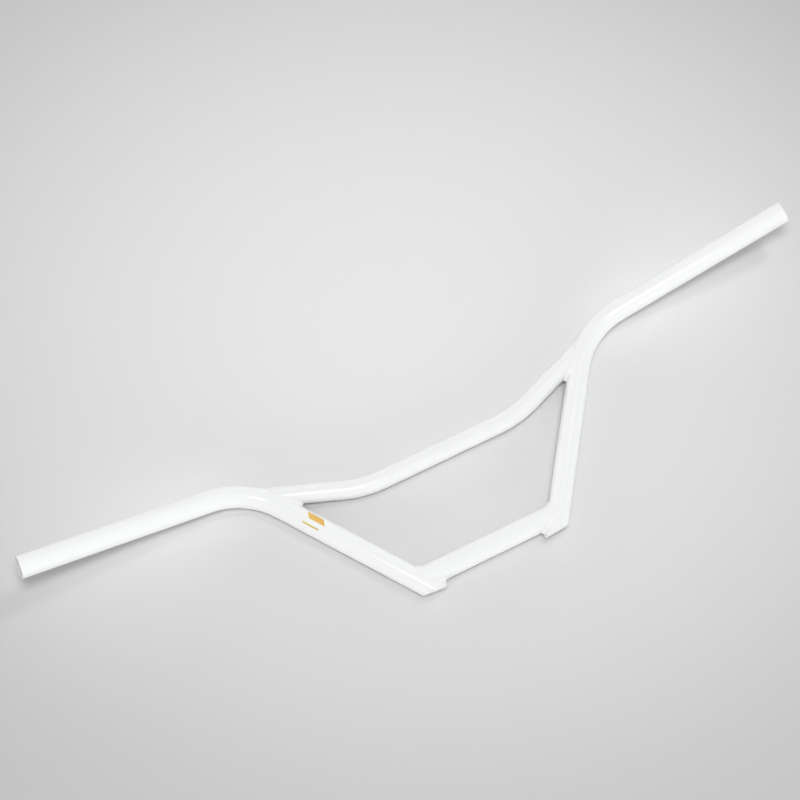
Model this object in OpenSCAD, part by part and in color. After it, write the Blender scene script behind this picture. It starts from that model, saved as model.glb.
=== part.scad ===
// A welded steel bicycle handlebar with a crossbar, lying flat with its grip ends turned up.
// X runs along the clamp tube, Y is the rise and +Z faces the rider. Sizes are in millimetres.
// The origin is the middle of the clamp tube, on its centre line.

/* [Whole bar] */
// Width between the two grip ends, on their centre lines
bar_width = 830; // [790:1:860]
// Outside diameter of the clamp tube and of both side tubes
tube_d = 22.2; // [21:0.1:23]
// Wall thickness of the clamp tube and of both side tubes
tube_wall = 1.5; // [1:0.1:2.2]

/* [Side tubes] */
// Distance from the middle to where a leg's centre line crosses the clamp tube's
elbow_x = 78; // [74:0.5:84]
// Lean of a leg, measured up from the clamp tube
leg_angle = 54.3; // [51:0.1:58]
// Distance from the middle to where the centre lines of a leg and its grip would meet
corner_x = 191.5; // [185:0.5:198]
// Radius of the bend between a leg and its grip, on the centre line
bend_r = 80; // [68:1:88]
// Rise of a grip toward its end, seen from the front
up_sweep = 2; // [0:0.5:5]
// Lean of a grip toward the rider, seen from above
back_sweep = 16; // [11:0.5:20]

/* [Feet] */
// How far below the clamp tube's centre line a leg is cut off
foot_drop = 17; // [16:0.5:19]
// Rise of the foot's cut toward the outside
foot_tilt = 5; // [2:0.5:7]
// Distance from the middle to the ground-off inner tip of a foot
foot_tip_x = 53.5; // [52.5:0.5:54.5]
// Thickness of the plate that closes a foot
cap_t = 2; // [1.5:0.1:2.6]

/* [Crossbar] */
// Outside diameter of the crossbar
cross_d = 19; // [18:0.1:20]
// Wall thickness of the crossbar
cross_wall = 1.2; // [1:0.1:2]
// How far below a leg's upper corner the crossbar's centre line crosses the leg's, along the leg
cross_below = 19.7; // [16:0.1:24]
// Length of each rising end, from the corner of its bend to where it crosses the leg's centre line
cross_run = 100.8; // [95:0.1:105]
// Rise of the crossbar's ends
cross_rise = 20.3; // [18:0.1:22]
// Radius of each crossbar bend, on the centre line
cross_bend_r = 120; // [100:1:140]

/* [Welds] */
// Gap left between a coped end and the tube that it seats on
cope_gap = 0.05; // [0.05:0.01:0.15]
// Reach of a weld along each tube, where its corner is neither sharp nor flush
weld_leg = 2.1; // [1.8:0.1:2.4]
// Height of a weld's crown above the straight line between its two edges
weld_crown = 0.7; // [0.5:0.1:0.9]

/* [Hidden] */
$fn = 96;
tube_r = tube_d / 2;
cross_r = cross_d / 2;
corner_y = (corner_x - elbow_x) * tan(leg_angle);
leg_len = (corner_x - elbow_x) / cos(leg_angle);
grip_len = (bar_width / 2 - corner_x) / (cos(back_sweep) * cos(up_sweep));
// angle between a leg and its grip, and the roll of the plane that both lie in
turn = acos(cos(back_sweep) * cos(leg_angle - up_sweep));
bend_roll = atan2(sin(back_sweep), -cos(back_sweep) * sin(leg_angle - up_sweep));
bend_in = bend_r * tan(turn / 2);
leg_dir = [cos(leg_angle), sin(leg_angle), 0];
// how far each crossbar bend reaches from its corner, and that corner
cross_in = cross_bend_r * tan(cross_rise / 2);
cross_dir = [cos(cross_rise), sin(cross_rise), 0];
cross_corner = [corner_x, corner_y, 0] - leg_dir * cross_below - cross_dir * cross_run;
// how far the crossbar runs past the leg's centre line before the cope cuts it
cross_past = 0.2 * cross_r;
// how far a cutting body runs past what it cuts
past = 3 * tube_d;
// how much smaller a bend's radius is than its tube's, and how many degrees it runs into the straight parts
bend_thin = 0.01;
bend_into = 0.01;
// rings along each weld, and the points of one ring
seam_n = 40;
ring_n = 9;

function unit(v) = v / norm(v);
function turn_x(v, a) = [v.x, v.y * cos(a) - v.z * sin(a), v.y * sin(a) + v.z * cos(a)];
function turn_z(v, a) = [v.x * cos(a) - v.y * sin(a), v.x * sin(a) + v.y * cos(a), v.z];
// a point of the bar, seen in the plane of the right bend with the leg along -X
function in_bend(p) = turn_x(turn_z(p - [corner_x, corner_y, 0], -leg_angle), -bend_roll);
function bend_at(q) = atan2(q.x + bend_in, bend_r - q.y);
// distance of a point from the right side tube's centre line
function off_leg(q) = norm([q.y, q.z]);
function off_bend(q) = norm([norm([q.x + bend_in, q.y - bend_r]) - bend_r, q.z]);
function off_side(q) = q.x < -bend_in ? off_leg(q) : off_bend(q);
function gap(p) = off_side(in_bend(p)) - tube_r;
function slope(p, d) = gap(p + d) - gap(p - d);
function side_normal(p) = unit([slope(p, [0.01, 0, 0]), slope(p, [0, 0.01, 0]), slope(p, [0, 0, 0.01])]);
// where a line from a along d meets the side tube between lo and hi, by halving k times
function meet(a, d, lo, hi, k) = let(m = (lo + hi) / 2)
    k == 0 ? a + d * m : gap(a + d * m) > 0 ? meet(a, d, m, hi, k - 1) : meet(a, d, lo, m, k - 1);
// the outward direction around a tube that runs along d
function around(d, a) = [-d.y * cos(a), d.x * cos(a), sin(a)];
// the seam of a tube of radius r that starts at s, runs along d and meets the leg's line at far
function seam_point(s, d, r, far, a) = let(w = around(d, a), lean = leg_angle - atan2(d.y, d.x))
    meet(s + w * r, d, far - past, far + r * cos(a) / tan(lean), 24);
function seam(s, d, r, far) = [for (i = [0:seam_n - 1]) seam_point(s, d, r, far, i * 360 / seam_n)];

// the nearest point just off the side tube, and just off a tube through s along d
function off_tube_2(p) = p - side_normal(p) * (gap(p) - cope_gap);
function off_tube_1(p, s, d, r) = let(x = d * ((p - s) * d)) s + x + unit(p - s - x) * (r + cope_gap);

// one ring of a weld: over its crown from tube 2 to tube 1, then back along both tubes to the corner
function ring(c, i, s, d, r) = let(
    along = unit(c[(i + 1) % seam_n] - c[(i + seam_n - 1) % seam_n]),
    n1 = around(d, i * 360 / seam_n), n2 = side_normal(c[i]), up = unit(n1 + n2),
    half_open = sqrt((1 + n1 * n2) / 2), w = weld_leg * (1 / half_open - 0.3),
    t1 = cross(along, n1) * w, t2 = cross(n2, along) * w,
    p = off_tube_2(c[i] + t2), q = off_tube_1(c[i] + t1, s, d, r))
    concat([for (t = [0:0.25:1]) p * (1 - t) + q * t + up * weld_crown * 4 * t * (1 - t)],
        [off_tube_1(c[i] + t1 * 0.6, s, d, r), off_tube_1(c[i] + t1 * 0.2, s, d, r)],
        [off_tube_2(c[i] + t2 * 0.2), off_tube_2(c[i] + t2 * 0.6)]);

// the weld along the seam of a tube of radius r that starts at s and runs along d
module weld(s, d, r, far) {
    c = seam(s, d, r, far);
    rings = [for (i = [0:seam_n - 1]) ring(c, i, s, d, r)];
    polyhedron(
        points = [for (k = rings) for (p = k) p],
        faces = [for (i = [0:seam_n - 1]) for (j = [0:ring_n - 1])
            let(a = i * ring_n + j, b = i * ring_n + (j + 1) % ring_n,
                e = (i + 1) % seam_n * ring_n + j, f = (i + 1) % seam_n * ring_n + (j + 1) % ring_n)
            for (t = [[a, f, b], [a, e, f]]) t]);
}

// a solid bent bar of radius r whose bend turns about the origin, straight before and after it
// the bend is a hair thinner and runs a hair into the straight parts, so that it always joins them cleanly
module bent_bar(r, bend, angle, before, after) {
    rotate([0, 0, -bend_into]) rotate_extrude(angle = angle + 2 * bend_into)
        translate([bend, 0]) circle(r = r - bend_thin);
    translate([bend, 0, 0]) rotate([90, 0, 0]) cylinder(h = before, r = r);
    rotate([0, 0, angle]) translate([bend, 0, 0]) rotate([-90, 0, 0]) cylinder(h = after, r = r);
}

// the right side tube as a solid bar of radius r, running past the grip's end by extra
module side_bar(r, extra) {
    translate([corner_x, corner_y, 0]) rotate([0, 0, leg_angle]) rotate([bend_roll, 0, 0])
        translate([-bend_in, bend_r, 0]) rotate([0, 0, -90])
            bent_bar(r, bend_r, turn, leg_len - bend_in + foot_drop + past, grip_len - bend_in + extra);
}

// everything below the right foot's cut, moved up by lift
module below_foot(lift) {
    translate([elbow_x - foot_drop / tan(leg_angle), -foot_drop, 0]) rotate([0, 0, foot_tilt])
        translate([-past, lift - past, -past]) cube([2 * past, past, 2 * past]);
}

module foot_tip() {
    translate([foot_tip_x - past, -foot_drop - past, -past])
        cube([past, foot_drop + past - tube_r, 2 * past]);
}

module right_side() {
    difference() {
        side_bar(tube_r, 0);
        side_bar(tube_r - tube_wall, past);
        below_foot(cap_t);
        foot_tip();
    }
}

module right_cap() {
    difference() {
        intersection() {
            leg_bar(tube_r);
            below_foot(cap_t);
        }
        below_foot(0);
        foot_tip();
    }
}

module right_clamp_bead() {
    weld([0, 0, 0], [1, 0, 0], tube_r, elbow_x);
}

module right_cross_bead() {
    weld(cross_corner, cross_dir, cross_r, cross_run);
}

// the right half of the crossbar as a solid bar of radius r
module half_cross(r) {
    translate([cross_corner.x - cross_in, cross_corner.y + cross_bend_r, 0]) rotate([0, 0, -90])
        bent_bar(r, cross_bend_r, cross_rise, cross_corner.x - cross_in, cross_run - cross_in + cross_past);
}

// a straight bar of radius r along the lower part of the right leg
module leg_bar(r) {
    translate([elbow_x, 0, 0]) rotate([0, 90, leg_angle]) cylinder(h = 2 * past, r = r, center = true);
}

module both_sides() {
    children();
    mirror([1, 0, 0]) children();
}

module clamp_tube() {
    color("white") difference() {
        rotate([0, 90, 0]) cylinder(h = 2 * elbow_x, r = tube_r, center = true);
        rotate([0, 90, 0]) cylinder(h = 2 * elbow_x + past, r = tube_r - tube_wall, center = true);
        both_sides() leg_bar(tube_r + cope_gap);
    }
}

module left_side_tube() {
    color("white") mirror([1, 0, 0]) right_side();
}

module right_side_tube() {
    color("white") right_side();
}

module crossbar() {
    color("white") difference() {
        both_sides() half_cross(cross_r);
        both_sides() half_cross(cross_r - cross_wall);
        both_sides() side_bar(tube_r + cope_gap, 0);
    }
}

module left_foot_cap() {
    color("white") mirror([1, 0, 0]) right_cap();
}

module right_foot_cap() {
    color("white") right_cap();
}

module left_clamp_weld() {
    color("white") mirror([1, 0, 0]) right_clamp_bead();
}

module right_clamp_weld() {
    color("white") right_clamp_bead();
}

module left_crossbar_weld() {
    color("white") mirror([1, 0, 0]) right_cross_bead();
}

module right_crossbar_weld() {
    color("white") right_cross_bead();
}

clamp_tube();
left_side_tube();
right_side_tube();
crossbar();
left_foot_cap();
right_foot_cap();
left_clamp_weld();
right_clamp_weld();
left_crossbar_weld();
right_crossbar_weld();
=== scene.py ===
import math

import bpy
import numpy as np
from mathutils import Matrix, Vector


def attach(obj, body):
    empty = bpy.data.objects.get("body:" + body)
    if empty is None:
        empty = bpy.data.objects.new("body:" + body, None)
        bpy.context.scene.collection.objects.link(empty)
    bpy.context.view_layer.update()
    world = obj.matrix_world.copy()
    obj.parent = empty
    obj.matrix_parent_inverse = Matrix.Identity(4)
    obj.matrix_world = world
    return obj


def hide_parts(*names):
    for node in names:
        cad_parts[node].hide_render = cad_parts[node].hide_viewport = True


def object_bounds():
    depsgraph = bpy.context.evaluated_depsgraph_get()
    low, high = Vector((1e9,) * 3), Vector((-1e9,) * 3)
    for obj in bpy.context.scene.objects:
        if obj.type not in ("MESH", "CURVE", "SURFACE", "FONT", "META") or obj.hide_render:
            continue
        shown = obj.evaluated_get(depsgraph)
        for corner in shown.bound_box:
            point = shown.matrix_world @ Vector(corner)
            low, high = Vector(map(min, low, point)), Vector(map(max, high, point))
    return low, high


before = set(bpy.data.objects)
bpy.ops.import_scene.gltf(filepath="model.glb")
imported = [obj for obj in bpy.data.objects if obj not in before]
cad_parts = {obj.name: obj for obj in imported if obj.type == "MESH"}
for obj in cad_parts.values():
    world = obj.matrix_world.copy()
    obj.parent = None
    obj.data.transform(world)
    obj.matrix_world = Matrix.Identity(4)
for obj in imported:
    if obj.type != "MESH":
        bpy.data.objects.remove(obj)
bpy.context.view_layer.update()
print("frame loaded:", len(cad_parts), "solids")

# Sizes are in millimetres and angles in degrees, in the bar's own frame: X along the clamp tube,
# Y up the legs, Z toward the rider. A mesh is turned into metres when it is made.
mm = 0.001
bar = {
    "tubeRadius": 11.1, "tubeWall": 1.5, "halfWidth": 415.0,
    "elbowX": 78.0, "legAngle": 54.3, "cornerX": 191.5, "bendRadius": 80.0,
    "upSweep": 2.0, "backSweep": 16.0,
    "copeGap": 0.05,
    "bendSqueeze": 0.012,  # how much flatter the tube is in the middle of its bend
    "ring": 112,  # points round a tube
}
camera = {
    "lens": 67.5, "sensor": 36.0, "clip": (0.05, 100.0),
    "tiltX": -16.75, "tiltY": 0.8, "rollZ": 26.19,  # turns from the bar's frame to the camera's
    "shiftRight": -87.9, "shiftUp": 144.3, "distance": 1480.8,
}


def addObject(name, data):
    # an object that shows a mesh, a camera or a lamp, put into the scene
    thing = bpy.data.objects.new(name, data)
    bpy.context.scene.collection.objects.link(thing)
    return thing


def turned(axis, degrees):
    # matrix of a turn about one axis
    return np.array(Matrix.Rotation(math.radians(degrees), 3, axis))


def makeCamera():
    # turn = turn about X by tiltX * turn about Y by tiltY * turn about Z by rollZ;
    # the camera stands at the turn's inverse times (shiftRight, shiftUp, distance)
    toCamera = turned("X", camera["tiltX"]) @ turned("Y", camera["tiltY"]) @ turned("Z", camera["rollZ"])
    place = toCamera.T @ np.array([camera["shiftRight"], camera["shiftUp"], camera["distance"]]) * mm
    data = bpy.data.cameras.new("photoCamera")
    data.lens, data.sensor_width = camera["lens"], camera["sensor"]
    data.clip_start, data.clip_end = camera["clip"]
    thing = addObject("photoCamera", data)
    thing.matrix_world = Matrix.Translation(Vector(place)) @ Matrix(toCamera.T.tolist()).to_4x4()
    bpy.context.scene.camera = thing


makeCamera()
print("camera placed")


# the lines that the tubes follow
xAxis, yAxis, zAxis = np.eye(3)


def inPlane(degrees):
    # unit vector in the bar's plane, turned from +X toward +Y
    return np.array([math.cos(math.radians(degrees)), math.sin(math.radians(degrees)), 0.0])


def unit(v):
    # each vector divided by its length
    return v / np.linalg.norm(v, axis=-1, keepdims=True)


def bentLine(line, s):
    # centre line at length s: straight, then a round bend, then straight again. The bend angle
    # b = (s - straight) / radius is held between 0 and the turn; point = start + first along
    # + radius (sin b along + (1 - cos b) toward) + last (cos b along + sin b toward), and the way to the
    # bend's inside = cos b toward - sin b along
    b = np.clip((s - line["straight"]) / line["radius"], 0.0, line["turn"])
    first = np.minimum(s, line["straight"])[..., None]
    last = np.maximum(s - line["straight"] - line["radius"] * line["turn"], 0.0)[..., None]
    sinB, cosB = np.sin(b)[..., None], np.cos(b)[..., None]
    forward = cosB * line["along"] + sinB * line["toward"]
    inward = cosB * line["toward"] - sinB * line["along"]
    point = line["start"] + first * line["along"] + last * forward \
        + line["radius"] * (sinB * line["along"] + (1.0 - cosB) * line["toward"])
    return point, inward


def tubeSkin(line, s, angle, radius):
    # point on a round tube: centre line + radius (cos angle inward + sin angle side)
    point, inward = bentLine(line, s)
    out = np.cos(angle)[..., None] * inward + np.sin(angle)[..., None] * line["side"]
    return point + radius[..., None] * out


# the side tube: leg, bend and grip
legDir = inPlane(bar["legAngle"])
sweepBack, sweepUp = math.radians(bar["backSweep"]), math.radians(bar["upSweep"])
gripFlat = math.cos(sweepBack)
gripDir = np.array([gripFlat * math.cos(sweepUp), gripFlat * math.sin(sweepUp), math.sin(sweepBack)])
legLength = (bar["cornerX"] - bar["elbowX"]) / legDir[0]
elbow = bar["elbowX"] * xAxis
corner = elbow + legDir * legLength
bendTurn = math.acos(legDir @ gripDir)
bendIn = bar["bendRadius"] * math.tan(bendTurn / 2)
gripLength = (bar["halfWidth"] - bar["cornerX"]) / gripDir[0] - bendIn
bendToward = (gripDir - math.cos(bendTurn) * legDir) / math.sin(bendTurn)
sideLine = {
    "start": elbow, "along": legDir, "toward": bendToward, "side": np.cross(legDir, bendToward),
    "straight": legLength - bendIn, "radius": bar["bendRadius"], "turn": bendTurn,
}
sideBendStop = sideLine["straight"] + bar["bendRadius"] * bendTurn
sideEnd = sideBendStop + gripLength

# the crossbar: its ends meet the legs `below` the corner, and run straight for `run` from its own corners
cross = {
    "radius": 9.5, "wall": 1.2, "below": 19.7, "run": 100.8, "rise": 20.3, "bendRadius": 120.0,
    "ring": 104, "middleRows": 14, "bendRows": 26, "endRows": 10,
    "stretchFrom": 36.0, "stretchRows": 10,  # past the bend, from here the rows stretch to the seam
}
crossRise = math.radians(cross["rise"])
crossDir = inPlane(cross["rise"])
crossCorner = corner - legDir * cross["below"] - crossDir * cross["run"]
crossIn = cross["bendRadius"] * math.tan(crossRise / 2)
crossLine = {
    "start": crossCorner[1] * yAxis, "along": xAxis, "toward": yAxis, "side": zAxis,
    "straight": crossCorner[0] - crossIn, "radius": cross["bendRadius"], "turn": crossRise,
}
sides = {"right": np.ones(3), "left": np.array([-1.0, 1.0, 1.0])}  # the right side's points times this
# how far before a tube's far end its seam may lie, how often that span is halved to find it, and the small
# step that a slope is measured over
search = {"back": 60.0, "halvings": 40, "step": 0.01}


def offSide(p):
    # distance from the right side tube's centre line: from the leg's straight line or the bend's circle
    q = p - corner
    a, b, c = q @ legDir, q @ bendToward, q @ sideLine["side"]
    fromBend = np.hypot(np.hypot(a + bendIn, b - bar["bendRadius"]) - bar["bendRadius"], c)
    return np.where(a < -bendIn, np.hypot(b, c), fromBend)


def sideNormal(p):
    # outward direction of the right side tube's skin: the slope of that distance over a small step each way
    step = search["step"] * np.eye(3)
    return unit(np.stack([offSide(p + step[k]) - offSide(p - step[k]) for k in range(3)], axis=-1))


def outFrom(along, angle):
    # outward direction of a tube in the bar's plane: cos angle (along turned a right angle) + sin angle Z
    return np.stack([-along[1] * np.cos(angle), along[0] * np.cos(angle), np.sin(angle)], axis=-1)


def reachSide(start, along, radius, far, angle, target):
    # length along a tube's skin line to where it is `target` from the side tube's centre line, found by
    # halving the span that it lies in
    p = start + np.asarray(radius)[..., None] * outFrom(along, angle)
    lean = math.radians(bar["legAngle"]) - math.atan2(along[1], along[0])
    low = np.full(angle.shape, far - search["back"])
    high = far + radius * np.cos(angle) / math.tan(lean)
    for halving in range(search["halvings"]):
        middle = (low + high) / 2
        outside = offSide(p + along * middle[..., None]) > target
        low, high = np.where(outside, middle, low), np.where(outside, high, middle)
    return (low + high) / 2


def gridFaces(rows, columns, closeRows):
    # quads of a grid whose columns close into a ring, and whose rows may too
    i = np.arange(rows if closeRows else rows - 1)[:, None]
    j = np.arange(columns)[None, :]
    nextI, nextJ = (i + 1) % rows, (j + 1) % columns
    corners = [i * columns + j, i * columns + nextJ, nextI * columns + nextJ, nextI * columns + j]
    return np.stack(corners, axis=-1).reshape(-1, 4)


def poleFaces(rows, columns):
    # triangles that close a grid's first and last rings to the two points that follow the grid
    j = np.arange(columns)
    after, total = (j + 1) % columns, rows * columns
    first = np.stack([np.full(columns, total), after, j], axis=-1)
    last = np.stack([total - columns + j, total - columns + after, np.full(columns, total + 1)], axis=-1)
    return np.concatenate([first, last])


def ringAngles(rows, columns):
    # even angles round a tube, the same in each row
    return np.broadcast_to(np.linspace(0.0, 2 * math.pi, columns, endpoint=False), (rows, columns))


def insideOut(points, quads):
    # whether a closed mesh's signed volume is negative: the sum of a . (b x c) + a . (c x d) over its quads
    a, b, c, d = (points[quads[:, k]] for k in range(4))
    volume = np.einsum("ij,ij->i", a, np.cross(b, c)) + np.einsum("ij,ij->i", a, np.cross(c, d))
    return volume.sum() < 0


def makePiece(name, points, quads, triangles, material, replaced=(), values=None):
    # points in millimetres, faces as arrays; every face is turned outward and shaded smooth
    points = np.asarray(points, float).reshape(-1, 3)
    if insideOut(points, quads):
        quads, triangles = quads[:, ::-1], triangles[:, ::-1]
    mesh = bpy.data.meshes.new(name)
    corners = np.concatenate([quads.ravel(), triangles.ravel()]).astype(np.int32)
    totals = np.concatenate([np.full(len(quads), 4), np.full(len(triangles), 3)]).astype(np.int32)
    mesh.vertices.add(len(points))
    mesh.loops.add(len(corners))
    mesh.polygons.add(len(totals))
    mesh.vertices.foreach_set("co", (points * mm).astype(np.float32).ravel())
    mesh.loops.foreach_set("vertex_index", corners)
    mesh.polygons.foreach_set("loop_start", np.concatenate([[0], np.cumsum(totals)[:-1]]).astype(np.int32))
    mesh.polygons.foreach_set("use_smooth", np.ones(len(totals), bool))
    for key, value in (values or {}).items():
        numbers = np.asarray(value, np.float32).ravel()
        mesh.attributes.new(key, "FLOAT", "POINT").data.foreach_set("value", numbers)
    mesh.update()
    mesh.validate()
    mesh.materials.append(material)
    piece = addObject(name, mesh)
    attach(piece, "root")
    if replaced:
        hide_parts(*replaced)


noTriangles = np.zeros((0, 3), int)


def makeBothSides(name, node, points, quads, triangles, material, values):
    # the right side's piece, and its mirror image for the left
    for side, flip in sides.items():
        makePiece(side + name, points * flip, quads, triangles, material, [side + "_" + node], values)


layout = {"rows": 4, "wide": 220, "high": 300}  # how a tree's nodes are set out


def setInputs(thing, values):
    # each input, by name or number, gets a number or a colour, or else a link from the output that is given
    # or from the first output of the node that is given
    for key, value in values.items():
        if isinstance(value, bpy.types.Node):
            value = value.outputs[0]
        if isinstance(value, bpy.types.NodeSocket):
            thing.id_data.links.new(value, thing.inputs[key])
        else:
            thing.inputs[key].default_value = value


def addNode(tree, kind, values=None, **settings):
    # a node of one kind with its settings and inputs; nodes stand in columns in the order they are made
    thing = tree.nodes.new(kind)
    column, row = divmod(len(tree.nodes), layout["rows"])
    thing.location = (column * layout["wide"], -row * layout["high"])
    for key, value in settings.items():
        setattr(thing, key, value)
    setInputs(thing, values or {})
    return thing


def addMath(tree, operation, *values, **settings):
    # one operation on up to three numbers or nodes
    return addNode(tree, "ShaderNodeMath", dict(enumerate(values)), operation=operation, **settings)


def addRange(tree, value, low, high, first=0.0, last=1.0, kind="SMOOTHSTEP"):
    # first + (last - first) * share, where k goes from 0 at low to 1 at high and the share is
    # 3 k^2 - 2 k^3, or k itself where the kind is LINEAR
    return addNode(tree, "ShaderNodeMapRange", {
        "Value": value, "From Min": low, "From Max": high, "To Min": first, "To Max": last},
        interpolation_type=kind)


def addNoise(tree, where, waves, detail, roughness=0.5):
    # soft noise between 0 and 1, with so many waves to a metre
    return addNode(tree, "ShaderNodeTexNoise", {
        "Vector": where, "Scale": waves, "Detail": detail, "Roughness": roughness})


def mixNumbers(tree, share, a, b):
    # a + share * (b - a)
    return addNode(tree, "ShaderNodeMix", {0: share, 2: a, 3: b}, data_type="FLOAT")


def mixColors(tree, share, a, b):
    # the same with colours
    return addNode(tree, "ShaderNodeMix", {0: share, 6: a, 7: b}, data_type="RGBA").outputs[2]


def scaleColor(tree, color, gain):
    # a colour times a number
    return addNode(tree, "ShaderNodeVectorMath", {0: color, "Scale": gain}, operation="SCALE")


def newGroup(name, inputs, outputs):
    # a shader node group, its inputs and its last node, from (name, kind, value) for each input and
    # (name, kind) for each output
    tree = bpy.data.node_groups.new(name, "ShaderNodeTree")
    for socketName, kind, value in inputs:
        socket = tree.interface.new_socket(socketName, in_out="INPUT", socket_type="NodeSocket" + kind)
        if value is not None:
            socket.default_value = value
    for socketName, kind in outputs:
        tree.interface.new_socket(socketName, in_out="OUTPUT", socket_type="NodeSocket" + kind)
    return tree, addNode(tree, "NodeGroupInput").outputs, addNode(tree, "NodeGroupOutput")


plainWhite = (0.87, 0.87, 0.87, 1.0)
patterns = {
    "finer": 2.7,  # the second noise of the orange peel against the first
    "driftWaves": 38.0, "nibSize": 0.018, "raggedWaves": 260.0,
    "brokenWaves": 420.0, "brokenFrom": (0.35, 0.65), "brokenTo": (0.55, 1.0),
}


def makeOrangePeel():
    # height of a sprayed coat = (1 - Fine Share) * broad soft noise + Fine Share * finer noise
    tree, come, go = newGroup(
        "orangePeel",
        [("Vector", "Vector", None), ("Waves", "Float", 300.0), ("Fine Share", "Float", 0.35)],
        [("Height", "Float")])
    finer = addMath(tree, "MULTIPLY", come["Waves"], patterns["finer"])
    broad = addNoise(tree, come["Vector"], come["Waves"], detail=1.0, roughness=0.4)
    fine = addNoise(tree, come["Vector"], finer, detail=1.0)
    setInputs(go, {"Height": mixNumbers(tree, come["Fine Share"], broad, fine)})
    return tree


def makeToneDrift():
    # gain = 1 + Amount * (noise - 0.5), over a few centimetres: the colour is multiplied by it, and the
    # roughness divided
    tree, come, go = newGroup(
        "toneDrift",
        [("Vector", "Vector", None), ("Color", "Color", plainWhite), ("Amount", "Float", 0.02),
         ("Roughness", "Float", 0.3)],
        [("Color", "Color"), ("Roughness", "Float")])
    noise = addNoise(tree, come["Vector"], patterns["driftWaves"], detail=3.0, roughness=0.55)
    swing = addMath(tree, "MULTIPLY", addMath(tree, "SUBTRACT", noise, 0.5), come["Amount"])
    gain = addMath(tree, "ADD", swing, 1.0)
    setInputs(go, {
        "Color": scaleColor(tree, come["Color"], gain),
        "Roughness": addMath(tree, "DIVIDE", come["Roughness"], gain, use_clamp=True)})
    return tree


def makeDustNibs():
    # specks of dust caught under the paint: a round bump in the middle of a cell, in a Share of the cells
    tree, come, go = newGroup(
        "dustNibs",
        [("Vector", "Vector", None), ("Cells", "Float", 60.0), ("Share", "Float", 0.12)],
        [("Mask", "Float")])
    cells = addNode(tree, "ShaderNodeTexVoronoi", {"Vector": come["Vector"], "Scale": come["Cells"]}).outputs
    pick = addNode(tree, "ShaderNodeSeparateColor", {0: cells["Color"]})
    keep = addMath(tree, "LESS_THAN", pick, come["Share"])
    dot = addRange(tree, cells["Distance"], 0.0, patterns["nibSize"], 1.0, 0.0)
    setInputs(go, {"Mask": addMath(tree, "MULTIPLY", dot, keep)})
    return tree


def makeThinCoatAndShade():
    # where paint pulls thin over an edge its colour moves to Other, and in a crease Other is painted shade;
    # either way by Mask * noise
    tree, come, go = newGroup(
        "thinCoatAndShade",
        [("Color", "Color", plainWhite), ("Other", "Color", (0.8, 0.79, 0.76, 1.0)), ("Mask", "Float", 0.0),
         ("Vector", "Vector", None)],
        [("Color", "Color")])
    noise = addNoise(tree, come["Vector"], patterns["brokenWaves"], detail=3.0)
    broken = addRange(tree, noise, *patterns["brokenFrom"], *patterns["brokenTo"], "LINEAR")
    share = addMath(tree, "MULTIPLY", come["Mask"], broken, use_clamp=True)
    setInputs(go, {"Color": mixColors(tree, share, come["Color"], come["Other"])})
    return tree


groups = {"peel": makeOrangePeel(), "drift": makeToneDrift(), "nibs": makeDustNibs(), "thinAndShade": makeThinCoatAndShade()}

# heights are in metres, and waves are so many to a metre
paint = {
    "color": (0.87, 0.872, 0.872, 1.0), "edgeColor": (0.78, 0.775, 0.76, 1.0),
    # painted shade: the colour that the beads' paint darkens to in their creases
    "creaseShadeColor": (0.83, 0.83, 0.825, 1.0),
    "roughness": 0.4, "specular": 0.1, "coat": 0.18, "coatRoughness": 0.16, "drift": 0.02,
    "peelWaves": 330.0, "peelHeight": 0.000012, "nibHeight": 0.00004, "nibShare": 0.1,
    "beadPeel": 1.3, "beadCoat": 0.4,  # on a bead, times the peel and the coat of a tube
}
# bare metal inside a tube: the spray fades between two depths, made ragged by up to so many millimetres
steel = {
    "color": (0.23, 0.21, 0.19, 1.0), "drift": 0.6, "roughness": 0.42, "metallic": 0.85,
    "fadeFrom": 4.0, "fadeTo": 30.0, "ragged": 14.0, "outside": 0.01,
    "deep": 60.0,  # depth given to the inside of a tube that is closed at both ends
}


def newMaterial(name):
    # an empty material, its node tree, its shader and its Object coordinates
    material = bpy.data.materials.new(name)
    material.use_nodes = True
    tree = material.node_tree
    tree.nodes.clear()
    shader = addNode(tree, "ShaderNodeBsdfPrincipled")
    addNode(tree, "ShaderNodeOutputMaterial", {0: shader})
    return material, tree, shader, addNode(tree, "ShaderNodeTexCoord").outputs["Object"]


def useGroup(tree, key, where, values):
    # one of the groups above, on these coordinates
    return addNode(tree, "ShaderNodeGroup", {"Vector": where, **values}, node_tree=groups[key])


def readAttribute(tree, key):
    # a number that the mesh carries at its points
    return addNode(tree, "ShaderNodeAttribute", attribute_name=key).outputs["Fac"]


def sprayedPaint(name, edgeKey, otherColor, peelHeight, boreKey=None, coatShare=1.0):
    # gloss white over steel: drifting tone, orange peel and dust nibs under a clear coat, and otherColor by
    # as much as the attribute edgeKey says: thin paint where it is an edge, painted shade where it is a
    # crease
    material, tree, shader, where = newMaterial(name)
    drift = useGroup(tree, "drift", where, {
        "Color": paint["color"], "Amount": paint["drift"], "Roughness": paint["roughness"]})
    thinAndShade = useGroup(tree, "thinAndShade", where, {
        "Color": drift.outputs["Color"], "Other": otherColor, "Mask": readAttribute(tree, edgeKey)})
    peel = useGroup(tree, "peel", where, {"Waves": paint["peelWaves"]})
    nibs = useGroup(tree, "nibs", where, {"Share": paint["nibShare"]})
    bump = addNode(tree, "ShaderNodeBump", {"Distance": peelHeight, "Height": peel})
    nibBump = addNode(tree, "ShaderNodeBump", {
        "Distance": paint["nibHeight"], "Height": nibs, "Normal": bump})
    setInputs(shader, {
        "Normal": nibBump, "Coat Roughness": paint["coatRoughness"],
        "Specular IOR Level": paint["specular"]})
    if boreKey:
        fadeToSteel(tree, shader, where, thinAndShade, drift, boreKey)
    else:
        setInputs(shader, {
            "Base Color": thinAndShade, "Roughness": drift.outputs["Roughness"],
            "Coat Weight": paint["coat"] * coatShare})
    return material


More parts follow.
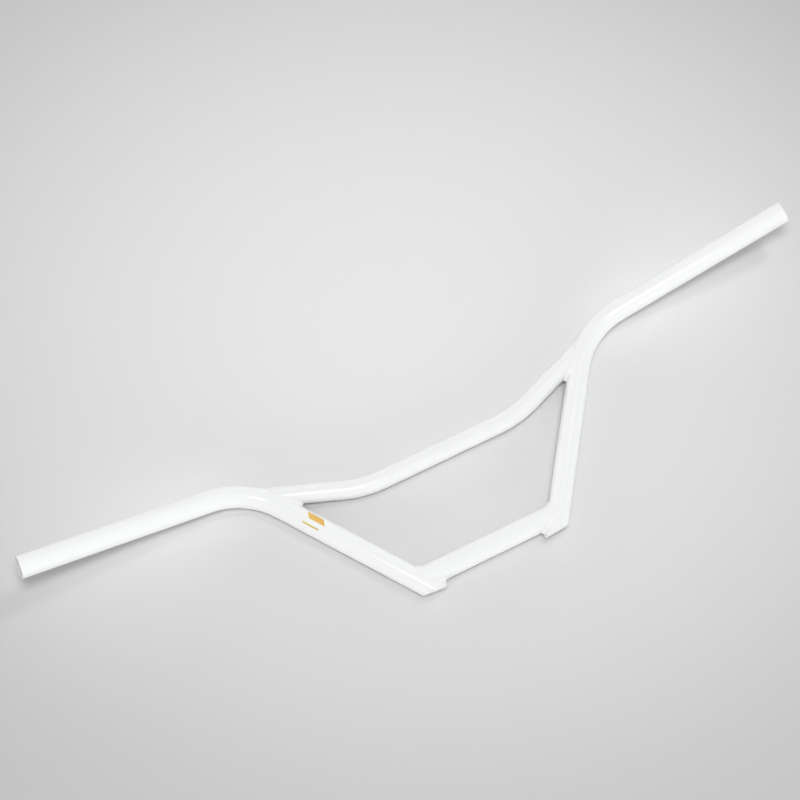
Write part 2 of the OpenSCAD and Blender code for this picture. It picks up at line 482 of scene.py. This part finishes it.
def fadeToSteel(tree, shader, where, thinAndShade, drift, boreKey):
    # inside a tube the spray fades out over the first centimetres and leaves oiled steel:
    # share of steel = smooth step of (depth + ragged * noise) where there is any depth, else 0
    depth = readAttribute(tree, boreKey)
    noise = addNoise(tree, where, patterns["raggedWaves"], detail=4.0, roughness=0.6)
    start = addMath(tree, "ADD", depth, addMath(tree, "MULTIPLY", noise, steel["ragged"]))
    fade = addRange(tree, start, steel["fadeFrom"], steel["fadeTo"])
    share = addMath(tree, "MULTIPLY", addMath(tree, "GREATER_THAN", depth, steel["outside"]), fade)
    metal = useGroup(tree, "drift", where, {
        "Color": steel["color"], "Amount": steel["drift"], "Roughness": steel["roughness"]})
    setInputs(shader, {
        "Base Color": mixColors(tree, share, thinAndShade, metal),
        "Roughness": mixNumbers(tree, share, drift.outputs["Roughness"], metal.outputs["Roughness"]),
        "Metallic": addMath(tree, "MULTIPLY", share, steel["metallic"]),
        "Coat Weight": addRange(tree, share, 0.0, 1.0, paint["coat"], 0.0, "LINEAR")})


tubePaint = sprayedPaint("tubePaint", "edge", paint["edgeColor"], paint["peelHeight"], "boreDepth")
# the beads' paint, with painted shade in its creases
beadPaint = sprayedPaint("beadPaint", "creaseShade", paint["creaseShadeColor"],
                         paint["peelHeight"] * paint["beadPeel"], coatShare=paint["beadCoat"])
platePaint = sprayedPaint("platePaint", "edge", paint["edgeColor"], paint["peelHeight"])
print("paint ready")


foot = {
    "drop": 16.9, "tilt": 5.0, "lean": 5.0,  # the cut's depth below the elbow, and its two slopes
    # the inner tip is ground back to a leaning line
    "tipX": 52.0, "tipY": -11.2, "tipSlope": 0.52, "tipRound": 0.15, "lowest": -18.03,
    # from this length along the leg the wall's rows stretch down to the cut, by these shares
    "wallStart": -4.0, "outerShares": (0.985, 0.95, 0.85, 0.7, 0.55, 0.4, 0.25, 0.12),
    "innerShares": (0.3, 0.6, 1.0), "endFace": 0.7,  # the end face's middle row, as a share of the wall
    "boreDepth": 380.0,  # depth given to these rows inside the bore
    # the plate: its height, the gap between it and the wall, and the groove round their seam
    "plate": 2.0, "seat": 0.01, "seamGroove": 0.03, "grooveStart": 0.05,
    "dome": 0.12, "edgeRound": 0.3, "edgeWear": 0.3, "topEdge": 1.0,
    "faceRings": 6, "topRings": 4, "cornerSteps": 6,
}
gripEnd = {
    "outerRound": 0.45, "innerRound": 0.3, "cornerSteps": 6, "rimDepth": 0.02,
    "lastRows": (3.0, 1.2, 0.2),  # two before the tube's end, and one before the rim's rounding
    "boreRows": (0.8, 2.0, 4.0, 7.0, 11.0, 16.0, 24.0, 34.0), "boreFrom": 50.0,
}
sideGrid = {"leg": 36, "bend": 52, "grip": 42, "boreGrip": 12, "boreBend": 30, "boreLeg": 12}


def footLevel(angle, radius, lift):
    # length along the leg at which the skin line at this angle and radius crosses the foot's cut, raised by
    # lift: (lift - (elbow + radius out - a point on the cut) . cutUp) / (legDir . cutUp)
    cutUp = unit(inPlane(90.0 + foot["tilt"]) + math.tan(math.radians(foot["lean"])) * zAxis)
    onCut = elbow - foot["drop"] * (xAxis / math.tan(math.radians(bar["legAngle"])) + yAxis)
    out = np.cos(angle)[..., None] * bendToward + np.sin(angle)[..., None] * sideLine["side"]
    return (lift - (elbow + radius[..., None] * out - onCut) @ cutUp) / (legDir @ cutUp)


def onLeg(angle, radius, length):
    # point on the leg at this angle, radius and length, held above the lowest line that the grinding leaves
    point = tubeSkin(sideLine, length, angle, radius)
    point[..., 1] = np.maximum(point[..., 1], foot["lowest"])
    return point


def groundShare(angle, lengthAt):
    # the foot's inner tip is ground flat, along the plane x + tipSlope y = tipX + tipSlope tipY. The share
    # of its radius that the tube keeps = 1 - smooth maximum of 0 and (radius - limit) over radius, where
    # limit is the radius at which the line from the axis out to the skin meets the plane: the axis is
    # `start` and the skin `stop` from it, and a line that hardly nears the plane never meets it
    hardly, never = 0.01, 100.0
    full = np.full(angle.shape, bar["tubeRadius"])
    axis, rim = (tubeSkin(sideLine, lengthAt(r), angle, r) for r in (0.0 * full, full))
    start, stop = (p[..., 0] - foot["tipX"] + foot["tipSlope"] * (p[..., 1] - foot["tipY"])
                   for p in (axis, rim))
    limit = full * np.where(start - stop > hardly, start / np.maximum(start - stop, hardly), never)
    return 1.0 - np.logaddexp(0.0, (full - limit) / foot["tipRound"]) * foot["tipRound"] / full


def roundCorner(count):
    # sine and one minus cosine of a quarter turn in `count` steps
    a = np.linspace(0.0, math.pi / 2, count)
    return np.sin(a), 1.0 - np.cos(a)


def sideRows():
    # one trip along the wall: up the outside from the foot to the grip's end, over the rim, and back down
    # the bore. Each row is (share of the foot's cut, length, radius, edge, depth inside the bore)
    outer, inner = bar["tubeRadius"], bar["tubeRadius"] - bar["tubeWall"]
    base, bendStart, bendStop = foot["wallStart"], sideLine["straight"], sideBendStop
    big, small = gripEnd["outerRound"], gripEnd["innerRound"]
    before, last, beforeRim = gripEnd["lastRows"]
    rows = [(1.0, base, outer - foot["seamGroove"], 0.0, 0.0)]
    rows += [(k, base, outer, 0.0, 0.0) for k in foot["outerShares"]]
    there = np.concatenate([
        np.linspace(base, bendStart, sideGrid["leg"]),
        np.linspace(bendStart, bendStop, sideGrid["bend"])[1:],
        np.linspace(bendStop, sideEnd - before, sideGrid["grip"])[1:],
        [sideEnd - last, sideEnd - big - beforeRim]])
    rows += [(0.0, s, outer, 0.0, 0.0) for s in there]
    rise, fall = roundCorner(gripEnd["cornerSteps"])
    rows += [(0.0, sideEnd - big + big * a, outer - big * b, 1.0, 0.0) for a, b in zip(rise, fall)]
    rows += [(0.0, sideEnd - small * b, inner + small - small * a, 1.0, gripEnd["rimDepth"])
             for a, b in zip(rise, fall)]
    back = np.concatenate([
        sideEnd - np.array(gripEnd["boreRows"]),
        np.linspace(sideEnd - gripEnd["boreFrom"], bendStop, sideGrid["boreGrip"]),
        np.linspace(bendStop, bendStart, sideGrid["boreBend"])[1:],
        np.linspace(bendStart, base, sideGrid["boreLeg"])[1:]])
    rows += [(0.0, s, inner, 0.0, sideEnd - s) for s in back]
    rows += [(k, base, inner, 0.0, foot["boreDepth"]) for k in foot["innerShares"]]
    rows += [(1.0, base, inner + foot["endFace"] * (outer - inner), 0.0, foot["boreDepth"])]
    return np.array(rows)


def bendWindow(s):
    # 0 on the straight parts, rising to 1 in the middle of the bend: the square of a sine
    share = np.clip((s - sideLine["straight"]) / (bar["bendRadius"] * bendTurn), 0.0, 1.0)
    return np.sin(math.pi * share) ** 2


def sidePoints(columns):
    # the wall of the right side tube as one closed grid: centre line + radius (squeeze cos angle inward
    # + sin angle side), because bent tube is a little flatter in the bend's own plane
    rows = sideRows()
    angle = ringAngles(len(rows), columns)
    share, length, radius = (np.repeat(rows[:, k:k + 1], columns, axis=1) for k in range(3))
    base = foot["wallStart"]

    def lengthAt(r):
        return np.where(share > 0, base + share * (footLevel(angle, r, foot["plate"]) - base), length)

    outside = radius > bar["tubeRadius"] - bar["tubeWall"]
    radius = np.where((share > 0) & outside, radius * groundShare(angle, lengthAt), radius)
    s = lengthAt(radius)
    point, inward = bentLine(sideLine, s)
    squeeze = 1.0 - bar["bendSqueeze"] * bendWindow(s)
    across = (radius * squeeze * np.cos(angle))[..., None] * inward
    return point + across + (radius * np.sin(angle))[..., None] * sideLine["side"], rows


def makeSideTubes():
    # the wall's grid, with each row's edge wear and depth for the paint
    points, rows = sidePoints(bar["ring"])
    values = {key: np.repeat(rows[:, k], bar["ring"]) for k, key in ((3, "edge"), (4, "boreDepth"))}
    quads = gridFaces(len(rows), bar["ring"], True)
    makeBothSides("SideTube", "side_tube", points, quads, noTriangles, tubePaint, values)


def makeFootPlates():
    # the plate that closes a foot: from the middle of its lower face out, round the edge, up the side and
    # back over the top. Each row is (radius, height above the cut, edge wear), and the middle of the lower
    # face lies higher by dome * (1 - (share of the radius)^2)
    columns, rings = bar["ring"], foot["faceRings"]
    rise, fall = roundCorner(foot["cornerSteps"])
    r, e, top = bar["tubeRadius"], foot["edgeRound"], foot["plate"] - foot["seat"]
    profile = [((r - e) * k / rings, foot["dome"] * (1 - (k / rings) ** 2), 0.0) for k in range(1, rings)]
    profile += [(r - e + e * a, e * b, foot["edgeWear"]) for a, b in zip(rise, fall)]
    groove, tops = foot["seamGroove"], foot["topRings"]
    profile += [(r, foot["plate"] - groove - foot["grooveStart"], 0.0), (r - groove, top, 0.0)]
    profile += [((r - foot["topEdge"]) * k / tops, top, 0.0) for k in range(tops, 0, -1)]
    profile = np.array(profile)
    angle = ringAngles(len(profile), columns)
    radius, lift = (np.repeat(profile[:, k:k + 1], columns, axis=1) for k in range(2))
    radius = radius * groundShare(angle, lambda r: footLevel(angle, r, lift))
    ring = onLeg(angle, radius, footLevel(angle, radius, lift))
    centre = np.zeros(1)
    poles = [onLeg(centre, centre, footLevel(centre, centre, np.array([height])))
             for height in (foot["dome"], top)]
    points = np.concatenate([ring.reshape(-1, 3)] + poles)
    values = {"edge": np.concatenate([np.repeat(profile[:, 2], columns), np.zeros(len(poles))])}
    makeBothSides("FootPlate", "foot_cap", points, gridFaces(len(profile), columns, False),
                  poleFaces(len(profile), columns), platePaint, values)


clampRows = {"outer": 42, "inner": 22}


def makeClampTube():
    # straight tube coped to both legs: x = share * end(angle), where end is where the leg's cylinder meets
    # that skin line: elbowX + (radius cos angle cos lean - root of legRadius^2 - (radius sin angle)^2)
    # / sin lean, and the lean is the leg's angle
    outer, inner = bar["tubeRadius"], bar["tubeRadius"] - bar["tubeWall"]
    there, back = clampRows["outer"], clampRows["inner"]
    shares = np.concatenate([np.linspace(-1.0, 1.0, there), np.linspace(1.0, -1.0, back)])
    radii = np.concatenate([np.full(there, outer), np.full(back, inner)])
    angle = ringAngles(len(shares), bar["ring"])
    radius = np.repeat(radii[:, None], bar["ring"], axis=1)
    legRadius = outer + bar["copeGap"]
    sag = np.sqrt(legRadius ** 2 - (radius * np.sin(angle)) ** 2)
    end = bar["elbowX"] + (radius * np.cos(angle) * legDir[0] - sag) / legDir[1]
    points = np.stack([shares[:, None] * end, radius * np.cos(angle), radius * np.sin(angle)], axis=-1)
    values = {"edge": np.zeros(radius.shape), "boreDepth": np.where(radius < outer, steel["deep"], 0.0)}
    makePiece("clampTube", points, gridFaces(len(shares), bar["ring"], True), noTriangles, tubePaint,
              ["clamp_tube"], values)


def makeCrossbar():
    # both halves in one grid: length runs from the left seam through 0 at the middle to the right seam, and
    # the left half is the right half's mirror image. Length = row's length + share * (seam - row's length)
    columns = cross["ring"]
    outer, inner = cross["radius"], cross["radius"] - cross["wall"]
    bendStart, bendStop = crossLine["straight"], crossLine["straight"] + cross["bendRadius"] * crossRise
    fixed = np.concatenate([
        np.linspace(0.0, bendStart, cross["middleRows"]),
        np.linspace(bendStart, bendStop, cross["bendRows"])[1:],
        np.linspace(bendStop, bendStop + cross["stretchFrom"], cross["endRows"])[1:]])
    stretch = np.linspace(0.0, 1.0, cross["stretchRows"])[1:]
    half = [(0.0, s) for s in fixed] + [(k, fixed[-1]) for k in stretch]
    there = [(-1.0, k, s) for k, s in half[:0:-1]] + [(1.0, k, s) for k, s in half]
    sign, share, length = (np.concatenate([v, v[::-1]])[:, None] for v in np.array(there).T)
    radii = np.concatenate([np.full(len(there), outer), np.full(len(there), inner)])
    radius = np.repeat(radii[:, None], columns, axis=1)
    angle = ringAngles(len(radii), columns)
    legSkin = bar["tubeRadius"] + bar["copeGap"]
    outerEnd, innerEnd = (
        reachSide(crossCorner, crossDir, np.full(columns, r), cross["run"], angle[0], legSkin)
        for r in (outer, inner))
    end = np.where(radius < outer, innerEnd[None, :], outerEnd[None, :]) + bendStop - crossIn
    points = tubeSkin(crossLine, length + share * (end - length), angle, radius)
    points[..., 0] *= sign
    values = {"edge": np.zeros(radius.shape), "boreDepth": np.where(radius < outer, steel["deep"], 0.0)}
    makePiece("crossbarTube", points, gridFaces(len(radii), columns, True), noTriangles, tubePaint,
              ["crossbar"], values)


makeSideTubes()
makeFootPlates()
makeClampTube()
makeCrossbar()
print("tubes made")


bead = {
    "spread": 1.75, "base": 0.95,  # reach along each tube: spread / sine of half the corner, plus base
    "crown": 0.38, "tangent": 0.7, "sink": 0.07, "footSink": 0.6,
    "ripplePitch": 1.9, "rippleHeight": 0.055, "rippleBow": 2.3,
    "strengthSwing": 0.25, "strengthTurns": 5,  # the ripples are taller and lower by turns
    # the bead's width and height wander: each wave is its turns, its share and what times the phase
    "wander": 0.12, "wanderWaves": ((3, 1.0, 1.0), (7, 0.6, 2.1), (13, 0.4, 0.7)), "wanderCrown": 0.5,
    "easeLength": 8.5, "easeFrom": 0.45,  # how the seam's corner at the top is rounded
    "fillReach": 1.6, "fillCrown": 0.8,  # more metal in the open corner above each tube
    # each bead's own phase, and its share of that metal
    "each": {"rightClamp": (0.4, 0.55), "leftClamp": (1.9, 1.0),
             "rightCrossbar": (2.4, 0.5), "leftCrossbar": (3.2, 0.5)},
    "seamPoints": 3601, "ringsPerRipple": 8, "pointsAcross": 17,
    "underDepth": 0.45, "underShares": (0.65, 0.2),  # the hidden underside, inside both tubes' walls
    # painted shade along both toes: the paint is darkened over a share of the width, more where the corner
    # is sharp
    "toeShare": 0.25, "creaseFrom": 0.9, "creaseGain": 3.0, "creaseLeast": 0.15,
}


def seamAround(start, along, radius, far, angle):
    # point = start + radius outward + length along, with the length at which it meets the side tube's skin
    length = reachSide(start, along, np.full(angle.shape, radius), far, angle, bar["tubeRadius"])
    return start + radius * outFrom(along, angle) + along * length[..., None]


def ontoSide(p, off):
    # p moved along the side tube's normal until it is `off` outside the tube's skin
    return p - sideNormal(p) * (offSide(p) - bar["tubeRadius"] - off)[..., None]


def ontoTube(p, start, along, radius, off):
    # nearest point of the tube's centre line + (radius + off) * outward direction of p
    middle = start + ((p - start) @ along)[..., None] * along
    return middle + unit(p - middle) * (radius + off)


def easeTurns(track, half):
    # where tubes of one size cross, their seam turns a corner at the top: the running mean over `half`
    # points to each side takes the seam's place there, by a share that rises with how far they lie apart
    window = np.hanning(2 * half + 3)[1:-1]
    around = np.concatenate([track[-half:], track, track[:half]])
    eased = np.stack([np.convolve(around[:, k], window / window.sum(), "valid") for k in range(3)], axis=1)
    apart = np.linalg.norm(eased - track, axis=1)
    near = np.max([np.roll(apart, k) for k in range(-half, half + 1)], axis=0)
    share = np.clip((near - bead["easeFrom"]) / bead["easeFrom"], 0.0, 1.0)
    share = np.concatenate([share[-half:], share, share[:half]])
    share = np.convolve(share, window / window.sum(), "valid")[:, None]
    return track + share * (eased - track)


def makeBead(start, along, radius, far, phase, fillShare):
    # a bead that follows the seam of a coped tube. The rings stand at even steps of the seam's length. Each
    # ring is a cubic curve between two toes, tangent to both tubes there, raised by crown * sin^2 and by
    # the ripples: rippleHeight * strength * cos(turns of pitch along the seam - bow across) * sin^2
    dense = np.linspace(0.0, 2 * math.pi, bead["seamPoints"])
    step = np.linalg.norm(np.diff(seamAround(start, along, radius, far, dense), axis=0), axis=1)
    walked = np.concatenate([[0.0], np.cumsum(step)])
    ripples = round(walked[-1] / bead["ripplePitch"])
    count = ripples * bead["ringsPerRipple"]
    lengthAt = np.arange(count) / count * walked[-1]
    angle = np.interp(lengthAt, walked, dense)
    half = round(bead["easeLength"] * count / walked[-1])
    c = easeTurns(seamAround(start, along, radius, far, angle), half)
    # both tubes' normals at the seam, and the way along it
    n1 = unit(c - start - ((c - start) @ along)[:, None] * along)
    n2 = sideNormal(c)
    travel = unit(np.roll(c, -1, axis=0) - np.roll(c, 1, axis=0))
    up = unit(n1 + n2)
    halfOpen = np.sqrt((1.0 + np.sum(n1 * n2, axis=1)) / 2)
    turns = lengthAt / walked[-1] * 2 * math.pi
    waves = bead["wanderWaves"]
    drift = bead["wander"] * sum(part * np.sin(n * turns + shift * phase) for n, part, shift in waves)
    fill = fillShare * np.maximum(np.cos(angle), 0.0) ** 2
    reach = (bead["spread"] / halfOpen + bead["base"] + drift + bead["fillReach"] * fill)[:, None]
    # a curve from toe2 on the side tube to toe1 on the coped tube
    dir1, dir2 = np.cross(travel, n1), np.cross(n2, travel)
    deeper = bead["footSink"] * np.maximum(-np.cos(angle), 0.0) ** 4  # to the foot's ground tip
    toe2 = ontoSide(c + dir2 * reach, -bead["sink"] - deeper)
    toe1 = ontoTube(c + dir1 * reach, start, along, radius, -bead["sink"])
    span = np.linalg.norm(toe1 - toe2, axis=1, keepdims=True) * bead["tangent"]
    across = np.linspace(0.0, 1.0, bead["pointsAcross"])
    t = across[None, :, None]
    curve = (2 * t ** 3 - 3 * t ** 2 + 1) * toe2[:, None] + (3 * t ** 2 - 2 * t ** 3) * toe1[:, None] \
        - (t ** 3 - 2 * t ** 2 + t) * (dir2 * span)[:, None] + (t ** 3 - t ** 2) * (dir1 * span)[:, None]
    # the crown and the ripples
    crown = (bead["crown"] + bead["wanderCrown"] * drift + bead["fillCrown"] * fill)[:, None, None]
    wave = np.cos(ripples * turns[:, None, None] - bead["rippleBow"] * (2 * t - 1) ** 2 + phase)
    strength = 1.0 + bead["strengthSwing"] * np.sin(bead["strengthTurns"] * turns + phase)[:, None, None]
    hump = np.sin(math.pi * t) ** 2
    curve = curve + up[:, None] * hump * (crown + bead["rippleHeight"] * wave * strength)
    # the underside, inside both walls
    depth, (wide, narrow) = bead["underDepth"], bead["underShares"]
    under = [ontoTube(c + dir1 * reach * k, start, along, radius, -depth) for k in (wide, narrow)] \
        + [ontoSide(c + dir2 * reach * k, -depth - deeper) for k in (narrow, wide)]
    points = np.concatenate([curve, np.stack(under, axis=1)], axis=1)
    # painted shade along both toes, deeper where the corner is sharp
    toes = np.clip(1.0 - np.minimum(across, 1 - across) / bead["toeShare"], 0, 1)
    creaseShade = np.concatenate([np.repeat(toes[None], count, axis=0), np.zeros((count, len(under)))], axis=1)
    sharp = np.clip((bead["creaseFrom"] - halfOpen) * bead["creaseGain"], bead["creaseLeast"], 1.0)
    creaseShade *= sharp[:, None]
    return points, gridFaces(count, points.shape[1], True), {"creaseShade": creaseShade}


def makeBeads():
    # a bead at each end of both coped tubes: a left one is worked out on the right and mirrored
    seams = {
        "Clamp": (np.zeros(3), xAxis, bar["tubeRadius"], bar["elbowX"]),
        "Crossbar": (crossCorner, crossDir, cross["radius"], cross["run"]),
    }
    for name, seam in seams.items():
        for side, flip in sides.items():
            points, quads, values = makeBead(*seam, *bead["each"][side + name])
            makePiece(side + name + "Bead", points * flip, quads, noTriangles, beadPaint,
                      [side + "_" + name.lower() + "_weld"], values)


makeBeads()
print("beads made")


stripes = {
    "stripeWide": {"alongLeg": (107.5, 126.0), "aroundDegrees": (9.0, 47.0), "slant": 2.6, "thick": 0.07,
                   "colors": ((0.74, 0.41, 0.07, 1.0), (0.80, 0.50, 0.10, 1.0))},
    "stripeThin": {"alongLeg": (109.0, 127.5), "aroundDegrees": (-26.0, -16.0), "slant": 0.6, "thick": 0.07,
                   "colors": ((0.62, 0.46, 0.10, 1.0), (0.70, 0.56, 0.14, 1.0))},
}
film = {
    "rows": 60, "columns": 24, "edgePower": 8, "edgeSink": 0.02, "under": 0.06,
    "drift": 0.12, "roughness": 0.32, "gloss": 0.8, "glossRoughness": 0.08,
    "peelWaves": 700.0, "peelHeight": 0.000006,
}


def stripeMaterial(name):
    # printed vinyl film: one colour running into another along the leg, under a clear gloss
    material, tree, shader, where = newMaterial(name + "Film")
    ramp = addNode(tree, "ShaderNodeValToRGB", {0: readAttribute(tree, "alongStripe")})
    ramp.color_ramp.elements[0].color, ramp.color_ramp.elements[1].color = stripes[name]["colors"]
    drift = useGroup(tree, "drift", where, {
        "Color": ramp.outputs["Color"], "Amount": film["drift"], "Roughness": film["roughness"]})
    peel = useGroup(tree, "peel", where, {"Waves": film["peelWaves"]})
    setInputs(shader, {
        "Base Color": drift, "Roughness": drift.outputs["Roughness"],
        "Normal": addNode(tree, "ShaderNodeBump", {"Distance": film["peelHeight"], "Height": peel}),
        "Coat Weight": film["gloss"], "Coat Roughness": film["glossRoughness"]})
    return material


def makeStripe(name, material):
    # a film on the left leg: a patch of the tube's skin whose ends slant, lifted by
    # thick * (1 - edge^edgePower) - edgeSink and closed underneath
    size, rows = stripes[name], film["rows"]
    a, b = np.linspace(-1.0, 1.0, rows)[:, None], np.linspace(-1.0, 1.0, film["columns"])[None, :]
    low, high = size["alongLeg"]
    s = (low + high) / 2 + (high - low) / 2 * a + size["slant"] * b
    first, last = size["aroundDegrees"]
    turn = np.radians((first + last) / 2 + (last - first) / 2 * b + 0.0 * a)  # in the grid's shape
    edge = np.maximum(np.abs(a), np.abs(b))
    inward = inPlane(bar["legAngle"] + 90.0)  # toward the middle of the bar
    out = np.sin(turn)[..., None] * inward + np.cos(turn)[..., None] * zAxis
    lift = size["thick"] * (1.0 - edge ** film["edgePower"]) - film["edgeSink"]
    top, under = (elbow + s[..., None] * legDir + (bar["tubeRadius"] + off)[..., None] * out
                  for off in (lift, np.full(lift.shape, -film["under"])))
    # walk round the patch's section so that top and underside form one ring
    ring = np.concatenate([top, under[:, ::-1]], axis=1)
    count = ring.shape[1]
    ends = np.stack([ring[0].mean(axis=0), ring[-1].mean(axis=0)])
    points = np.concatenate([ring.reshape(-1, 3), ends]) * sides["left"]
    along = np.concatenate([np.repeat((a.ravel() + 1) / 2, count), [0.0, 1.0]])
    makePiece(name, points, gridFaces(rows, count, False), poleFaces(rows, count), material,
              values={"alongStripe": along})


for stripeName in stripes:
    makeStripe(stripeName, stripeMaterial(stripeName))
print("stripes made")

# the table, the lamps and the surroundings, in metres
room = {
    "tableHalf": 20.0, "tableColor": (0.74, 0.74, 0.74, 1.0), "tableDrift": 0.012, "tableRoughness": 0.75,
    "tableSpecular": 0.15,
    # painted contact shadow and painted shade beside the tubes, both darkening the table's colour
    "creaseReach": 0.006, "creasePower": 0.16,  # the contact shadow
    "nearReach": 0.028, "nearPower": 0.22,  # takes back the light that the white tubes throw beside them
    "openSamples": 8,
    "fadeFrom": 0.7, "fadeTo": 1.8,  # where the table runs into the background
    # painted light: the table's colour is scaled over its plane by a fitted pool of light, with terms 1, x,
    # y, xx, xy, yy
    "paintedLightFit": (1.0175, 0.159, 0.587, -0.784, -0.413, -0.934), "paintedLightLow": 0.8, "paintedLightSoft": 0.15,
    # painted light: the table's colour is lighter inside the frame, standing in for the light the tubes
    # throw back there
    "paintedFrameMiddle": (0.0, 0.05, 0.0), "paintedFrameLight": 1.04, "paintedFrameReach": 0.12,  # lighter inside the frame
    # each lamp: place, aim, size, power, colour
    "softBox": ((-0.16, -0.09, 1.72), (-0.02, 0.09, 0.0), 0.33, 15.9, (1.0, 1.0, 1.0)),
    "smallLamp": ((0.62, 0.35, 1.6), (0.2, 0.15, 0.0), 0.26, 4.0, (1.0, 1.0, 1.0)),
    "lowSky": 2.05, "highSky": 0.13, "skyFrom": 0.2, "skyTo": 0.5, "frontGain": 0.06, "rightGain": 0.06,
    "front": (-0.4413, -0.8973, 0.0), "right": (0.8973, -0.4413, 0.0),  # the picture's down and right
    "warm": (1.0, 1.0, 1.0, 1.0), "cool": (0.97, 0.99, 1.0, 1.0), "coolFrom": -0.5, "coolTo": 0.8,
    "background": (0.80, 0.80, 0.80, 1.0),
}


def seenRays(tree):
    # 1 where a camera, glossy or transmission ray looks, 0 for the rays that light things
    rays = addNode(tree, "ShaderNodeLightPath").outputs
    some = addMath(tree, "ADD", rays["Is Camera Ray"], rays["Is Glossy Ray"], use_clamp=True)
    return addMath(tree, "ADD", some, rays["Is Transmission Ray"], use_clamp=True)


def measure(tree, operation, *values):
    # the number that an operation on vectors gives
    values = dict(enumerate(values))
    return addNode(tree, "ShaderNodeVectorMath", values, operation=operation).outputs["Value"]


def paintedTableLight(tree, where):
    # painted light: the table's colour follows a fitted pool of light, c0 + x (c1 + c3 x + c4 y) + y (c2 +
    # c5 y), kept above its lowest level by a smooth maximum; painted light also lifts it in the middle of
    # the frame by a gain that falls to 1 at its reach
    c = room["paintedLightFit"]
    x, y = addNode(tree, "ShaderNodeSeparateXYZ", {0: where}).outputs[:2]
    byX = addMath(tree, "MULTIPLY_ADD", x, c[3], c[1])
    byXy = addMath(tree, "MULTIPLY_ADD", y, c[4], byX)
    byY = addMath(tree, "MULTIPLY_ADD", y, c[5], c[2])
    yPart = addMath(tree, "MULTIPLY_ADD", y, byY, c[0])
    whole = addMath(tree, "MULTIPLY_ADD", x, byXy, yPart)
    held = addMath(tree, "SMOOTH_MAX", whole, room["paintedLightLow"], room["paintedLightSoft"])
    apart = measure(tree, "DISTANCE", where, room["paintedFrameMiddle"])
    lift = addRange(tree, apart, 0.0, room["paintedFrameReach"], room["paintedFrameLight"], 1.0)
    return addMath(tree, "MULTIPLY", held, lift)


def openShare(tree, reach, power):
    # how open the table is within reach, to a power
    around = addNode(tree, "ShaderNodeAmbientOcclusion", {"Distance": reach}, samples=room["openSamples"])
    return addMath(tree, "POWER", around.outputs["AO"], power)


def tableShade(tree):
    # painted shade: for the rays that are seen, the table's colour is darkened by its openness near the
    # bar's contact times its openness beside the tubes; the light that the table throws back keeps its full
    # strength
    creaseShade = openShare(tree, room["creaseReach"], room["creasePower"])
    near = openShare(tree, room["nearReach"], room["nearPower"])
    return mixNumbers(tree, seenRays(tree), 1.0, addMath(tree, "MULTIPLY", creaseShade, near))


def fadeTable(tree, shader, where):
    # far off, the table runs into the background: share = smooth step of the distance from the middle
    fade = addRange(tree, measure(tree, "LENGTH", where), room["fadeFrom"], room["fadeTo"])
    far = addNode(tree, "ShaderNodeEmission", {"Color": room["background"]})
    share = addMath(tree, "MULTIPLY", fade, seenRays(tree))
    mix = addNode(tree, "ShaderNodeMixShader", {0: share, 1: shader, 2: far})
    setInputs(tree.nodes["Material Output"], {0: mix})


def makeTable():
    # pale paper under the bar's lowest point: colour * painted light * painted shade
    low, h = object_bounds()[0][2], room["tableHalf"]
    mesh = bpy.data.meshes.new("tableTop")
    mesh.from_pydata([(-h, -h, low), (h, -h, low), (h, h, low), (-h, h, low)], [], [(0, 1, 2, 3)])
    material, tree, shader, where = newMaterial("tablePaper")
    drift = useGroup(tree, "drift", where, {
        "Color": room["tableColor"], "Amount": room["tableDrift"], "Roughness": room["tableRoughness"]})
    # the table's colour times painted light and painted shade
    gain = addMath(tree, "MULTIPLY", paintedTableLight(tree, where), tableShade(tree))
    setInputs(shader, {
        "Base Color": scaleColor(tree, drift, gain), "Roughness": drift.outputs["Roughness"],
        "Specular IOR Level": room["tableSpecular"]})
    fadeTable(tree, shader, where)
    mesh.materials.append(material)
    table = addObject("tableTop", mesh)


def makeLamps():
    # square lamps, each turned to look at its aim
    for name in ("softBox", "smallLamp"):
        place, target, size, power, color = room[name]
        data = bpy.data.lights.new(name, "AREA")
        data.shape, data.size, data.energy, data.color = "SQUARE", size, power, color
        lamp = addObject(name, data)
        lamp.location = place
        lamp.rotation_mode = "QUATERNION"
        lamp.rotation_quaternion = (Vector(target) - Vector(place)).to_track_quat("-Z", "Y")
        lamp.visible_camera = False


def makeSky():
    # pale surroundings: level = (bright low down, darker overhead, by the direction's height)
    # * (1 + frontGain * share facing front + rightGain * share facing right)
    world = bpy.data.worlds.new("paleRoom")
    world.use_nodes = True
    bpy.context.scene.world = world
    tree = world.node_tree
    tree.nodes.clear()
    where = addNode(tree, "ShaderNodeTexCoord").outputs["Generated"]
    height = addNode(tree, "ShaderNodeSeparateXYZ", {0: where}).outputs["Z"]
    level = addRange(tree, height, room["skyFrom"], room["skyTo"], room["lowSky"], room["highSky"])
    front, right = (measure(tree, "DOT_PRODUCT", where, room[key]) for key in ("front", "right"))
    frontPart = addMath(tree, "MULTIPLY_ADD", front, room["frontGain"], 1.0)
    facing = addMath(tree, "MULTIPLY_ADD", right, room["rightGain"], frontPart)
    cool = addRange(tree, right, room["coolFrom"], room["coolTo"], kind="LINEAR")
    light = addNode(tree, "ShaderNodeBackground", {
        "Color": mixColors(tree, cool, room["warm"], room["cool"]),
        "Strength": addMath(tree, "MULTIPLY", level, facing)})
    shown = addNode(tree, "ShaderNodeBackground", {"Color": room["background"]})
    mix = addNode(tree, "ShaderNodeMixShader", {0: seenRays(tree), 1: light, 2: shown})
    addNode(tree, "ShaderNodeOutputWorld", {0: mix})


makeTable()
makeLamps()
makeSky()
bpy.context.scene.view_settings.view_transform = "Standard"
print("room lit")
